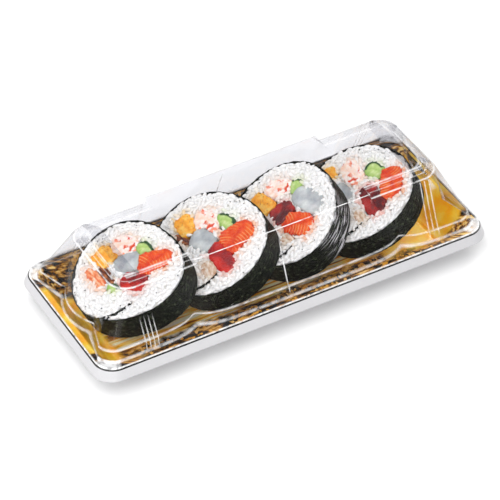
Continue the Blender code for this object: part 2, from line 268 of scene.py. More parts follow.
def radius_at(piece, angle):
    """Outer radius of a slice in millimetres, at one angle or an array of them."""
    total = piece["waves"][0]
    for k in range(1, HARMONICS + 1):
        total = total + piece["waves"][2 * k - 1] * np.cos(k * angle)
        total = total + piece["waves"][2 * k] * np.sin(k * angle)
    return total


slices = [measure_slice(f"roll_{number}") for number in (1, 2, 3, 4)]
for piece in slices:
    print(piece["name"], "thick", round(piece["thick"], 2), "mm, radius",
          round(float(piece["waves"][0]), 2), "mm")

# %% [markdown]
# ## Seaweed
# Nori is a thin dried sheet of pressed seaweed: nearly black, with a green cast where light grazes
# it, finely wrinkled where the damp rice has drawn it tight. Its base colour is very dark, with
# pale grey-green mottles that are partly its own colour and partly a painted sheen of its wrinkles;
# on the damp slice its creases are painted near white as highlights. Its roughness is middling,
# and the wrinkles and pores are relief. Coordinates come in millimetres from an attribute that
# unrolls the sheet, so that the wrinkles follow it round.

# %% Seaweed material
def pattern_mm(tree, name="piece_mm"):
    """Output of the attribute that holds a piece's own coordinates in millimetres."""
    return add_node(tree, "ShaderNodeAttribute", attribute_name=name).outputs["Vector"]


def make_nori(name, painted_streaks):
    material, tree = new_material(name)
    place = pattern_mm(tree)
    stretched = add_node(tree, "ShaderNodeMapping", {"Vector": place, "Scale": (0.3, 1.0, 1.0)})
    wrinkles = add_node(tree, "ShaderNodeTexNoise", {
        "Vector": stretched.outputs[0], "Scale": 0.7, "Detail": 6.0, "Roughness": 0.6,
    })
    pores = add_node(tree, "ShaderNodeTexNoise", {
        "Vector": place, "Scale": 1.5, "Detail": 3.0, "Roughness": 0.7,
    })
    blotches_and_sheen = add_node(tree, "ShaderNodeTexNoise", {
        "Vector": place, "Scale": 0.5, "Detail": 6.0, "Roughness": 0.75,
    })
    # The palest grey-green stop is a painted sheen of the wrinkles; the darker stops are the sheet's
    # own colour.
    tone = add_node(tree, "ShaderNodeValToRGB", {"Fac": blotches_and_sheen.outputs["Fac"]})
    colour = set_stops(tone, [(0.42, "030402"), (0.51, "0b1008"), (0.57, "232c19"), (0.65, "757e66")])
    if painted_streaks:
        # Where the sheet is stretched over the next slice it is creased, damp and shiny; its creases
        # there are painted near white, as painted highlights.
        thin = add_node(tree, "ShaderNodeMapping", {"Vector": place, "Scale": (0.1, 1.0, 1.0)})
        creases = add_node(tree, "ShaderNodeTexNoise", {
            "Vector": thin.outputs[0], "Scale": 0.85, "Detail": 5.0, "Roughness": 0.7,
            "Distortion": 0.4,
        })
        painted_shine = add_node(tree, "ShaderNodeMapRange", {
            "Value": creases.outputs["Fac"], "From Min": 0.52, "From Max": 0.575,
        })
        around = add_node(tree, "ShaderNodeSeparateXYZ", {0: place}).outputs[0]
        start = add_node(tree, "ShaderNodeMapRange", {
            "Value": around, "From Min": SHINE_FROM, "From Max": SHINE_FROM + 9.0})
        end = add_node(tree, "ShaderNodeMapRange", {
            "Value": around, "From Min": SHINE_TO, "From Max": SHINE_TO - 9.0})
        share = add_node(tree, "ShaderNodeMath", {
            0: start.outputs[0], 1: end.outputs[0]}, operation="MULTIPLY")
        share = add_node(tree, "ShaderNodeMath", {
            0: share.outputs[0], 1: painted_shine.outputs[0]}, operation="MULTIPLY")
        colour = add_node(tree, "ShaderNodeMix", {
            0: share.outputs[0], 6: colour, 7: linear("eceaec")}, data_type="RGBA").outputs[2]
    relief = add_node(tree, "ShaderNodeMath", {
        0: wrinkles.outputs["Fac"], 1: pores.outputs["Fac"],
    }, operation="ADD")
    bump = add_node(tree, "ShaderNodeBump", {
        "Height": relief.outputs[0], "Strength": 1.0, "Distance": 1.3 * MM,
    })
    shine = add_node(tree, "ShaderNodeMapRange", {
        "Value": wrinkles.outputs["Fac"], "From Min": 0.35, "From Max": 0.65,
        "To Min": 0.6, "To Max": 0.4,
    })
    show(tree, add_node(tree, "ShaderNodeBsdfPrincipled", {
        "Base Color": colour, "Roughness": shine.outputs[0], "Normal": bump.outputs[0],
        "IOR": 1.45, "Specular IOR Level": 0.1,
    }).outputs[0])
    return material


# Where round the damp sheet its painted highlights lie, in millimetres.
SHINE_FROM, SHINE_TO = -1.0, 34.0
nori_material = make_nori("pressed_seaweed_sheet", False)
nori_painted_shine = make_nori("damp_seaweed_sheet_painted_shine", True)
print("seaweed:", nori_material.name, nori_painted_shine.name)

# %% [markdown]
# The sheet is a sleeve round the rice. A ring of vertices is pushed out to the slice's radius and
# extruded in rows through the thickness; noise draws it into shallow wrinkles and frays its cut
# edges. Its inner end curls in under the fillings as a short arm, which is a second, narrow strip.

# %% Seaweed sleeves
SHEET_MM = 0.32
SLEEVE_STEPS = 210
SLEEVE_ROWS = 22
ARM_ROOT = math.radians(-64.0)
ARM_TIP = math.radians(-24.0)
ARM_TIP_RADIUS = 19.5
ARM_COLUMNS = 40
SHINY_SLICE = "roll_3"


def wobble(point, size, seed):
    """Smooth noise between about -1 and 1 that changes over size millimetres."""
    return noise.noise(Vector(point) / size + Vector((seed, 3.7 * seed, 0.0)))


def extrude_rows(bm, edges, verts, rows, step):
    """Extrudes a chain of edges in rows along -w and returns the vertices of every row."""
    grid = [verts]
    for _ in range(rows):
        made = bmesh.ops.extrude_edge_only(bm, edges=edges)["geom"]
        new = {item for item in made if isinstance(item, bmesh.types.BMVert)}
        edges = [item for item in made if isinstance(item, bmesh.types.BMEdge)]
        row = [next(e.other_vert(v) for e in v.link_edges if e.other_vert(v) in new)
               for v in grid[-1]]
        bmesh.ops.translate(bm, verts=row, vec=(0, 0, -step))
        grid.append(row)
        edges = [e for e in edges if e.verts[0] in new and e.verts[1] in new]
    return grid


def build_sleeve(piece, seed):
    """The outer sleeve and the inner arm, in slice millimetres, as one bmesh."""
    bm = bmesh.new()
    shiny = piece["name"] == SHINY_SLICE
    ring = bmesh.ops.create_circle(bm, segments=SLEEVE_STEPS, radius=1.0)["verts"]
    ring.sort(key=lambda v: math.atan2(v.co.y, v.co.x))
    step = piece["thick"] / SLEEVE_ROWS
    grid = extrude_rows(bm, list(bm.edges), ring, SLEEVE_ROWS, step)
    for row, verts in enumerate(grid):
        for vert in verts:
            angle = math.atan2(vert.co.y, vert.co.x)
            radius = float(radius_at(piece, angle))
            around = radius * angle
            depth = vert.co.z
            tight = 1.0 + 1.6 * shiny * max(0.0, math.cos(angle - math.radians(35)))
            wave = 0.20 * wobble((around, 2.2 * depth, 0), 9.0, seed)
            wave += 0.11 * tight * wobble((0.35 * around, depth, 0), 1.3, seed + 5)
            radius += wave - 0.12
            edge = 1.0 if row in (0, SLEEVE_ROWS) else 0.0
            fray = edge * 0.45 * wobble((around, row, 0), 1.4, seed + 9)
            fray -= 0.3 * (row == 0)
            vert.co = (radius * math.cos(angle), radius * math.sin(angle), depth + fray)
    root_radius = float(radius_at(piece, ARM_ROOT)) - SHEET_MM
    chain = []
    for i in range(ARM_COLUMNS + 1):
        share = i / ARM_COLUMNS
        angle = ARM_ROOT + (ARM_TIP - ARM_ROOT) * share
        radius = root_radius + (ARM_TIP_RADIUS - root_radius) * share
        radius += 0.35 * wobble((20 * share, 0, 0), 3.5, seed + 2)
        vert = bm.verts.new((radius * math.cos(angle), radius * math.sin(angle), 0.25))
        chain.append(vert)
    links = [bm.edges.new(pair) for pair in zip(chain, chain[1:])]
    for row, verts in enumerate(extrude_rows(bm, links, chain, 8, piece["thick"] / 8)):
        for column, vert in enumerate(verts):
            vert.co.z += (row == 0) * 0.25 * wobble((column, 0, 0), 2.0, seed + 4)
    bmesh.ops.recalc_face_normals(bm, faces=bm.faces)
    bmesh.ops.solidify(bm, geom=list(bm.faces), thickness=SHEET_MM)
    layer = bm.verts.layers.float_vector.new("piece_mm")
    for vert in bm.verts:
        radius, angle = math.hypot(vert.co.x, vert.co.y), math.atan2(vert.co.y, vert.co.x)
        full = float(radius_at(piece, angle))
        if radius > full - 1.5:
            vert[layer] = (full * angle, vert.co.z, 0.0)
        else:
            vert[layer] = (radius, vert.co.z, 9.0)
    scatter_crumbs(bm, layer, piece, seed)
    bmesh.ops.recalc_face_normals(bm, faces=bm.faces)
    return bm


def scatter_crumbs(bm, layer, piece, seed):
    """Flecks of seaweed that the knife has left on the rice, mostly near the sheet."""
    chance = np.random.RandomState(900 + seed)
    for _ in range(CRUMBS):
        angle = chance.uniform(0, 2 * math.pi)
        radius = float(radius_at(piece, angle)) - 1.0 - abs(chance.normal(0, 3.0))
        size = chance.uniform(0.12, 0.34)
        matrix = Matrix.Translation((radius * math.cos(angle), radius * math.sin(angle), 0.45))
        matrix = matrix @ Matrix.Rotation(chance.uniform(0, math.pi), 4, "Z")
        matrix = matrix @ Matrix.Diagonal((1.5 * size, size, 0.4 * size, 1.0))
        made = bmesh.ops.create_icosphere(bm, subdivisions=1, radius=1.0, matrix=matrix)
        for vert in made["verts"]:
            vert[layer] = (vert.co.x, vert.co.y, 20.0)


CRUMBS = 34


def to_frame(bm, piece):
    """Turns a bmesh in slice millimetres into the pack's metres."""
    bmesh.ops.scale(bm, vec=(MM, MM, MM), verts=bm.verts)
    bmesh.ops.transform(bm, matrix=piece["matrix"], verts=bm.verts)
    return bm


for seed, piece in enumerate(slices):
    material = nori_painted_shine if piece["name"] == SHINY_SLICE else nori_material
    name = piece["name"] + "_seaweed"
    sheet = hand_over(name, to_frame(build_sleeve(piece, 11 * seed + 1), piece), [material],
                      [piece["name"] + "_nori"])
    print(name, triangles(sheet), "triangles")

# %% [markdown]
# ## Shared outline of tray and lid
# Tray and lid are sheets drawn over a mould, so both are stacks of rounded rectangles. One
# function gives the points of such a ring; the next ring is extruded from the last one and moved
# to its own points. Every ring has the same number of points, so the rows line up on their own.

# %% Rings
TRAY_HALF_X = cad_box[1][0] / MM
TRAY_HALF_Y = cad_box[1][1] / MM
FLARE = 1.6
RIM_X = TRAY_HALF_X - FLARE
RIM_Y = TRAY_HALF_Y - FLARE
CORNER_STEPS = 10


def ring_points(half_x, half_y, radius, xs, ys):
    """Points of a rounded rectangle, from the middle of its left end round by the front."""
    centre_x, centre_y = half_x - radius, half_y - radius
    arc = [math.radians(90.0 * i / CORNER_STEPS) for i in range(CORNER_STEPS + 1)]
    front_left = [(-centre_x - radius * math.cos(a), -centre_y - radius * math.sin(a)) for a in arc]
    front_right = [(-x, y) for x, y in reversed(front_left)]
    front = front_left + [(x, -half_y) for x in xs] + front_right
    left = [(-half_x, y) for y in ys if y < 0][::-1]
    right = [(half_x, y) for y in ys if y < 0]
    lower = left + front + right[::-1][::-1]
    return lower, [(x, -y) for x, y in lower]


def stack(bm, rings):
    """Extrudes a closed ring through a list of rings of (x, y, z) points."""
    verts = [bm.verts.new(p) for p in rings[0]]
    edges = [bm.edges.new((a, b)) for a, b in zip(verts, verts[1:] + verts[:1])]
    rows = [verts]
    for points in rings[1:]:
        made = bmesh.ops.extrude_edge_only(bm, edges=edges)["geom"]
        new = {v for v in made if isinstance(v, bmesh.types.BMVert)}
        row = [next(e.other_vert(v) for e in v.link_edges if e.other_vert(v) in new)
               for v in rows[-1]]
        for vert, point in zip(row, points):
            vert.co = point
        edges = [bm.edges.get((a, b)) for a, b in zip(row, row[1:] + row[:1])]
        rows.append(row)
    return rows


def close_across(bm, row):
    """Closes the last ring with strips from its front half to its back half.

    The short sides bulge a little first, or the strips along them would have no area.
    """
    reach = max(vert.co.x for vert in row)
    ends = [vert for vert in row if abs(abs(vert.co.x) - reach) < 0.001]
    widest = max(abs(vert.co.y) for vert in ends)
    for vert in ends:
        vert.co.x += math.copysign(END_BULGE * (1 - (vert.co.y / widest) ** 2), vert.co.x)
    half = len(row) // 2
    front, back = row[:half], row[half:][::-1]
    chains = [bm.edges.get(pair) for pair in zip(front, front[1:])]
    chains += [bm.edges.get(pair) for pair in zip(back, back[1:])]
    bmesh.ops.bridge_loops(bm, edges=chains)


END_BULGE = 0.4


def whole_ring(half_x, half_y, radius, xs, ys):
    lower, upper = ring_points(half_x, half_y, radius, xs, ys)
    return lower + upper[::-1]


print("rim", round(2 * RIM_X, 1), "x", round(2 * RIM_Y, 1), "mm")

# %% [markdown]
# ## Tray print
# The tray is foamed or solid polystyrene sheet, printed on the inside before it is formed and
# left white outside. The print is a traditional gold one: plain yellow gold at both ends, a
# black ground along both long sides with gold dust on it, and brushed gold between them. Each
# field is a soft-edged mask on the tray's own X and Y in millimetres; noise makes the edges
# ragged. The film over the print gives it a clear gloss.

# %% Tray materials
def smooth_step(tree, value, low, high):
    """0 below low, 1 above high, and smooth between them."""
    return add_node(tree, "ShaderNodeMapRange", {
        "Value": value, "From Min": low, "From Max": high,
    }, interpolation_type="SMOOTHSTEP").outputs[0]


def calculate(tree, operation, *values):
    return add_node(tree, "ShaderNodeMath", dict(enumerate(values)), operation=operation).outputs[0]


def blend_colours(tree, share, under, over):
    return add_node(tree, "ShaderNodeMix", {0: share, 6: under, 7: over},
                    data_type="RGBA").outputs[2]


def object_mm(tree):
    """Object coordinates in millimetres, whole and apart."""
    coordinates = add_node(tree, "ShaderNodeTexCoord").outputs["Object"]
    scaled = add_node(tree, "ShaderNodeMapping", {
        "Vector": coordinates, "Scale": (1 / MM, 1 / MM, 1 / MM),
    }).outputs[0]
    parts = add_node(tree, "ShaderNodeSeparateXYZ", {0: scaled}).outputs
    return scaled, parts[0], parts[1], parts[2]


def noise_at(tree, place, scale, stretch=(1.0, 1.0, 1.0), detail=4.0, rough=0.55):
    stretched = add_node(tree, "ShaderNodeMapping", {"Vector": place, "Scale": stretch}).outputs[0]
    return add_node(tree, "ShaderNodeTexNoise", {
        "Vector": stretched, "Scale": scale, "Detail": detail, "Roughness": rough,
    }).outputs["Fac"]


def make_print():
    material, tree = new_material("gold_printed_polystyrene")
    place, x, y, z = object_mm(tree)
    ragged = calculate(tree, "MULTIPLY_ADD", noise_at(tree, place, 0.13), 10.0, -5.0)
    side = calculate(tree, "ADD", calculate(tree, "ABSOLUTE", y), ragged)
    # Brushed gold between the fields: streaks run along the tray, 1 to 2 mm apart. The palest, near
    # white streaks are painted highlights, for the lamp's reflection in the metallic print.
    streaks = noise_at(tree, place, 0.55, (0.06, 1.0, 1.0), detail=4.0)
    ramp = add_node(tree, "ShaderNodeValToRGB", {"Fac": streaks})
    colour = set_stops(ramp, [
        (0.37, "6a3204"), (0.43, "d68408"), (0.48, "ffb820"), (0.55, "ffe07c"), (0.61, "fffbe8")])
    # A painted highlight runs along the middle field, near its edge: a pale gold stripe that stands in
    # for the reflection along a ridge of the floor.
    offset = calculate(tree, "SUBTRACT", calculate(tree, "ABSOLUTE", y), 14.6)
    ridge_highlight = smooth_step(tree, calculate(tree, "ABSOLUTE", offset), 1.3, 0.3)
    colour = blend_colours(tree, ridge_highlight, colour, linear("fff8cc"))
    # Black ground along both long sides.
    ground = smooth_step(tree, side, 20.0, 23.5)
    mottle = noise_at(tree, place, 0.4, (0.3, 1.0, 1.0), detail=5.0)
    ramp = add_node(tree, "ShaderNodeValToRGB", {"Fac": mottle})
    black = set_stops(ramp, [
        (0.42, "060508"), (0.49, "2e1c0c"), (0.54, "94601c"), (0.6, "d89a38"), (0.68, "fad68c")])
    colour = blend_colours(tree, ground, colour, black)
    # In the corners the ground turns to brown gold with dark stripes that run across them.
    turned = add_node(tree, "ShaderNodeMapping", {"Vector": place, "Rotation": (0, 0, 0.5)})
    stripes = noise_at(tree, turned.outputs[0], 0.5, (0.12, 1.0, 1.0), detail=3.0)
    ramp = add_node(tree, "ShaderNodeValToRGB", {"Fac": stripes})
    striped = set_stops(ramp, [(0.43, "0c0704"), (0.48, "7a4a10"), (0.55, "c98a26"), (0.62, "ffdc84")])
    corner = smooth_step(tree, calculate(tree, "ADD", calculate(tree, "ABSOLUTE", x), ragged),
                         80.0, 88.0)
    colour = blend_colours(tree, calculate(tree, "MULTIPLY", corner, ground), colour, striped)
    # Gold dust: flakes of about 1 to 2 mm, some cells of a Voronoi pattern, gathered in clouds.
    flakes = add_node(tree, "ShaderNodeTexVoronoi", {"Vector": place, "Scale": 0.62})
    chance = add_node(tree, "ShaderNodeSeparateColor", {0: flakes.outputs["Color"]}).outputs[0]
    clouds = noise_at(tree, place, 0.045, detail=2.0)
    share = calculate(tree, "MULTIPLY_ADD", clouds, 1.8, -0.55)
    picked = calculate(tree, "LESS_THAN", chance, share)
    near = calculate(tree, "LESS_THAN", flakes.outputs["Distance"], 0.62)
    dust = calculate(tree, "MULTIPLY", calculate(tree, "MULTIPLY", picked, near), ground)
    dust = calculate(tree, "MULTIPLY", dust, calculate(tree, "SUBTRACT", 1.0, corner))
    gold = blend_colours(tree, chance, linear("e09a2a"), linear("ffe6a0"))
    colour = blend_colours(tree, dust, colour, gold)
    # Plain yellow gold at both ends, but not in the corners.
    ends = calculate(tree, "ABSOLUTE", calculate(tree, "ADD", x, 14.0))
    ends = smooth_step(tree, calculate(tree, "ADD", ends, calculate(tree, "MULTIPLY", ragged, 0.4)),
                       72.0, 76.0)
    inside = smooth_step(tree, calculate(tree, "MULTIPLY", side, -1.0), -28.0, -24.0)
    yellow_tone = noise_at(tree, place, 0.12)
    ramp = add_node(tree, "ShaderNodeValToRGB", {"Fac": yellow_tone})
    yellow = set_stops(ramp, [(0.35, "ffae0c"), (0.5, "ffc824"), (0.65, "ffde54")])
    colour = blend_colours(tree, calculate(tree, "MULTIPLY", ends, inside), colour, yellow)
    bump = add_node(tree, "ShaderNodeBump", {
        "Height": streaks, "Strength": 0.25, "Distance": 0.3 * MM,
    })
    shining = calculate(tree, "MULTIPLY_ADD", smooth_step(tree, streaks, 0.45, 0.6), 0.15, 0.08)
    show(tree, add_node(tree, "ShaderNodeBsdfPrincipled", {
        "Base Color": colour, "Roughness": 0.3, "Metallic": shining, "Normal": bump.outputs[0],
        "Coat Weight": 0.3, "Coat Roughness": 0.08,
    }).outputs[0])
    return material


def make_white():
    material, tree = new_material("white_polystyrene_sheet")
    place, x, y, z = object_mm(tree)
    grain = noise_at(tree, place, 1.2)
    bump = add_node(tree, "ShaderNodeBump", {
        "Height": grain, "Strength": 0.15, "Distance": 0.1 * MM,
    })
    tone = blend_colours(tree, grain, linear("bab9bc"), linear("c4c3c5"))
    show(tree, add_node(tree, "ShaderNodeBsdfPrincipled", {
        "Base Color": tone, "Roughness": 0.32, "Normal": bump.outputs[0], "IOR": 1.59,
    }).outputs[0])
    return material


# The thin black line round the rim's outer edge, where the lid's flange meets the tray; its tone
# varies with noise.
def make_edge():
    material, tree = new_material("black_rim_line")
    place, x, y, z = object_mm(tree)
    line_mottle = noise_at(tree, place, 1.5)
    tone = blend_colours(tree, line_mottle, linear("0c0b0e"), linear("2a2424"))
    show(tree, add_node(tree, "ShaderNodeBsdfPrincipled", {
        "Base Color": tone, "Roughness": 0.25, "IOR": 1.59,
    }).outputs[0])
    return material


tray_print, tray_white, tray_edge = make_print(), make_white(), make_edge()
print("tray finishes:", tray_print.name, tray_white.name, tray_edge.name)

# %% [markdown]
# ## Tray
# From its flared skirt the sheet turns over a narrow flat rim, drops to a foot, and rises again
# to the raised floor. Sheet that is drawn over a mould never has a sharp corner, so each bend
# takes a few rows. The skirt and the underside keep the white of the sheet; a thin black line
# runs round the rim's outer edge, where the lid's flange meets it, and the print starts inside it.

# %% Tray sheet
TRAY_SHEET = 0.6
TRAY_LEVELS = (
    # inset from the rim's outer edge, height, finish of the row that ends here
    (-1.75, 9.85, 1), (-1.6, 10.1, 1), (-0.9, 12.0, 1), (-0.35, 13.8, 1), (-0.1, 14.5, 1),
    (0.05, 14.8, 2), (0.25, 14.95, 2), (0.7, 15.0, 2), (1.3, 15.0, 0), (3.9, 15.0, 0), (4.6, 14.75, 0),
    (5.2, 14.0, 0), (7.2, 11.1, 0), (9.2, 8.2, 0), (11.2, 5.3, 0), (12.6, 3.2, 0),
    (13.5, 1.8, 0), (14.4, 1.05, 0), (15.5, 0.9, 0), (16.9, 0.95, 0), (17.6, 1.3, 0),
    (18.4, 2.0, 0), (19.2, 2.35, 0), (20.5, 2.4, 0),
)
RIM_CORNER = 10.0
SMALLEST_CORNER = 3.0
tray_xs = [x * 4.0 for x in range(-19, 20)]
tray_ys = [-15.0, -10.0, -5.0, 5.0, 10.0, 15.0]


def tray_ring(inset, height):
    radius = max(RIM_CORNER - 0.5 * inset, SMALLEST_CORNER)
    outline = whole_ring(RIM_X - inset, RIM_Y - inset, radius, tray_xs, tray_ys)
    return [(x, y, height) for x, y in outline]


bm = bmesh.new()
rows = stack(bm, [tray_ring(inset, height) for inset, height, _ in TRAY_LEVELS])
finish_of = {v: level[2] for row, level in zip(rows, TRAY_LEVELS) for v in row}
for face in bm.faces:
    finishes = {finish_of[v] for v in face.verts}
    face.material_index = 1 if 1 in finishes else max(finishes)
close_across(bm, rows[-1])
bmesh.ops.recalc_face_normals(bm, faces=bm.faces)
if sum(face.normal.z * face.calc_area() for face in bm.faces) < 0:
    bmesh.ops.reverse_faces(bm, faces=bm.faces)
bmesh.ops.scale(bm, vec=(MM, MM, MM), verts=bm.verts)
tray = hand_over("tray_sheet", bm, [tray_print, tray_white, tray_edge, tray_white],
                 ["tray"])
shell = tray.modifiers.new("sheet_thickness", "SOLIDIFY")
shell.thickness = TRAY_SHEET * MM
shell.offset = -1.0
shell.material_offset = 3
shell.material_offset_rim = 3
print("tray", triangles(tray), "triangles before its thickness")

# %% [markdown]
# ## Clear lid
# The lid is thin oriented polystyrene, clear and glossy. Most of what is seen of it are its
# bends: at a bend the sheet is turned through many angles, so some part of it always throws the
# lamp back, and the drawing also whitens it a little. So its material lets most light through,
# reflects more at grazing angles as any clear sheet does, and gets a painted white glint where the
# attribute "bend" says that the sheet is creased: a white diffuse layer that stands in for the
# lamp's glints along the bends and for the slight whitening.

# %% Lid material
def make_lid_sheet():
    material, tree = new_material("clear_formed_polystyrene")
    place, x, y, z = object_mm(tree)
    bend = add_node(tree, "ShaderNodeAttribute", attribute_name="bend").outputs["Fac"]
    ripple = noise_at(tree, place, 0.11, detail=2.0)
    bump = add_node(tree, "ShaderNodeBump", {
        "Height": ripple, "Strength": 0.5, "Distance": 0.6 * MM,
    }).outputs[0]
    # Schlick's rule, toned down: little is mirrored straight on, most at a grazing angle.
    tilt = add_node(tree, "ShaderNodeLayerWeight", {"Blend": 0.5, "Normal": bump}).outputs["Facing"]
    mirror = calculate(tree, "MULTIPLY_ADD", calculate(tree, "POWER", tilt, 5.0), 0.6, 0.009)
    clear = add_node(tree, "ShaderNodeBsdfTransparent", {"Color": linear("fafafb")}).outputs[0]
    gloss = add_node(tree, "ShaderNodeBsdfGlossy", {
        "Roughness": 0.06, "Normal": bump,
    }).outputs[0]
    sheet = add_node(tree, "ShaderNodeMixShader", {0: mirror, 1: clear, 2: gloss}).outputs[0]
    # Painted glint: a white diffuse layer along the bends stands in for the lamp's reflection in them,
    # with a little of the drawing's real whitening.
    painted_glint = add_node(tree, "ShaderNodeBsdfPrincipled", {
        "Base Color": linear("ffffff"), "Roughness": 0.25,
    }).outputs[0]
    broken = smooth_step(tree, noise_at(tree, place, 0.25), 0.22, 0.6)
    glint_share = calculate(tree, "MULTIPLY", bend, broken)
    show(tree, add_node(tree, "ShaderNodeMixShader", {0: glint_share, 1: sheet, 2: painted_glint}).outputs[0])
    return material


lid_sheet = make_lid_sheet()
print("lid finish:", lid_sheet.name)

# %% [markdown]
# The dome stands on a flat flange that lies on the tray's rim. Its foot is scalloped: notches
# pressed into the wall stiffen it, as flutes do. The middle of the dome is a raised box; the two
# ends lie lower and have rounded shoulders with fine steps. So each level of the dome has two
# sets of measures, one for its ends and one for the box in the middle, and the box's end walls
# are the narrow strips where the one gives way to the other.

# %% Lid levels
BOX_FROM, BOX_TO = -47.5, 48.5
BOX_WALL = 1.1
LONG_NOTCHES = (-52.5, 62.3)
SHORT_NOTCHES = (-15.0, 15.0)
NOTCH_DEPTH = 5.5
NOTCH_REACH = 6.5
RIBS_LEFT = (-81.6, -79.4, -77.2, -75.0)
RIBS_RIGHT = (77.0, 79.5, 82.0)
RIB_HALF = 0.45
RIB_HEIGHT = 0.35
MOULD_LINE = -3.5
RIDGE_Z = 48.95
# Painted glints: extra white haze along the box's ridge and in the lid's lower corners stands in for
# the lamp's glare there.
RIDGE_GLINT = 0.9
CORNER_GLARE = 0.5

LID_LEVELS = (
    # half length, half width of the ends, height of the ends, half width and height of the
    # box, corner radius, share of the notches' depth, painted glint on the bend at the ring
    (107.0, 43.5, 15.35, 43.5, 15.35, 9.7, 0.0, 0.2),
    (106.9, 43.4, 15.9, 43.4, 15.9, 9.6, 0.0, 0.75),
    (106.4, 42.9, 16.15, 42.9, 16.15, 9.3, 0.0, 0.2),
    (105.9, 42.4, 15.95, 42.4, 15.95, 9.0, 0.0, 0.0),
    (105.5, 42.0, 15.65, 42.0, 15.65, 9.0, 0.0, 0.0),
    (104.9, 40.2, 15.65, 40.2, 15.65, 9.0, 0.75, 0.0),
    (104.6, 39.6, 15.8, 39.6, 15.8, 9.0, 0.85, 0.3),
    (104.4, 39.3, 16.3, 39.3, 16.3, 9.0, 0.9, 0.28),
    (104.2, 39.0, 17.0, 39.0, 17.0, 9.0, 1.0, 0.0),
    (103.4, 38.2, 20.6, 38.2, 20.6, 9.0, 1.0, 0.0),
    (103.1, 37.9, 21.2, 37.9, 21.2, 9.0, 1.0, 0.35),
    (102.4, 37.2, 21.8, 37.2, 21.8, 9.0, 0.9, 0.0),
    (100.4, 35.2, 25.4, 35.4, 25.4, 9.0, 0.6, 0.0),
    (97.2, 32.2, 32.0, 32.6, 32.0, 9.0, 0.3, 0.0),
    (94.0, 29.4, 38.5, 30.1, 38.5, 9.0, 0.08, 0.0),
    (91.0, 26.8, 44.6, 27.8, 44.6, 9.0, 0.0, 0.0),
    (90.6, 26.4, 45.3, 27.4, 46.2, 10.0, 0.0, 0.0),
    (90.2, 26.0, 45.7, 26.8, 47.9, 10.0, 0.0, 0.5),
    (89.6, 25.3, 45.95, 26.4, 48.65, 10.0, 0.0, 0.0),
    (88.0, 23.1, 46.5, 26.15, 48.95, 9.6, 0.0, 0.0),
    (87.7, 22.7, 46.6, 25.8, 49.0, 9.5, 0.0, 0.25),
    (87.4, 22.3, 46.65, 25.2, 49.0, 9.4, 0.0, 0.0),
    (86.2, 20.6, 47.1, 21.5, 49.0, 9.2, 0.0, 0.0),
    (85.9, 20.1, 47.2, 20.5, 49.0, 9.1, 0.0, 0.25),
    (85.5, 19.6, 47.3, 19.8, 49.0, 9.0, 0.0, 0.0),
    (84.9, 18.8, 47.5, 19.0, 49.0, 8.8, 0.0, 0.4),
    (84.2, 17.8, 47.5, 18.0, 49.0, 8.4, 0.0, 0.0),
)


def lid_stations():
    xs = {4.0 * i for i in range(-20, 20)}
    for middle in LONG_NOTCHES:
        xs = {x for x in xs if abs(x - middle) > 9.0}
        xs |= {middle + d for d in (-9, -7, -5.5, -4, -3, -2, -1.2, -0.5, 0, 0.5, 1.2, 2, 3, 4, 5.5,
                                    7, 9)}
    extra = {x + d for x in RIBS_LEFT + RIBS_RIGHT + (MOULD_LINE,) for d in (-RIB_HALF, 0, RIB_HALF)}
    extra |= {BOX_FROM - BOX_WALL, BOX_FROM, BOX_TO, BOX_TO + BOX_WALL}
    xs = {x for x in xs if min(abs(x - e) for e in extra) > 0.8} | extra
    return sorted(xs)


lid_xs = lid_stations()
lid_ys = [-17.0, -16.0, -15.0, -14.0, -13.0, -11.0, -8.0, -5.0, -2.5,
          2.5, 5.0, 8.0, 11.0, 13.0, 14.0, 15.0, 16.0, 17.0]
print(len(lid_xs), "stations along the lid")

# %% Lid dome
def notch(along, places):
    nearest = min(abs(along - place) for place in places)
    return NOTCH_DEPTH * math.exp(-(math.sqrt(nearest ** 2 + 1.0) - 1.0) / NOTCH_REACH)


def lid_ring(level):
    """Points of one level, and how strong the painted glint on the bend is at each of them."""
    half_x, end_y, end_z, box_y, box_z, radius, share, ring_glint = level
    points = []
    for x, y in whole_ring(half_x, end_y, radius, lid_xs, lid_ys):
        height, white = end_z, ring_glint
        on_side = abs(abs(y) - end_y) < 0.01 and abs(x) < 95.0
        if on_side and BOX_FROM <= x <= BOX_TO:
            height = box_z
            y = math.copysign(box_y, y)
            if end_z > 45.0:
                white = RIDGE_GLINT if box_z == RIDGE_Z else 0.0
        inner = share * notch(x, LONG_NOTCHES) if on_side else 0.0
        y -= math.copysign(inner, y)
        if not on_side and abs(abs(x) - half_x) < 0.01:
            x -= math.copysign(share * notch(y, SHORT_NOTCHES), x)
        corner = abs(x) > half_x - radius and abs(y) > end_y - radius
        # The lower corners, the ribs and the mould line get painted glints: white haze for the lamp's
        # reflection on their bends.
        if corner and height < 16.5:
            white = min(1.0, white + CORNER_GLARE)
        ribs = RIBS_LEFT if x < 0 else RIBS_RIGHT
        low, high = (16.5, 27.0) if x < 0 else (20.0, 45.0)
        if on_side and low < height < high and any(abs(x - r) < 0.01 for r in ribs):
            y += math.copysign(RIB_HEIGHT, y)
            white = max(white, 0.4)
        if on_side and 17.0 < height < 40.0 and abs(x - MOULD_LINE) < 0.01:
            white = max(white, 0.6)
        points.append(((x, y, height), white))
    return points


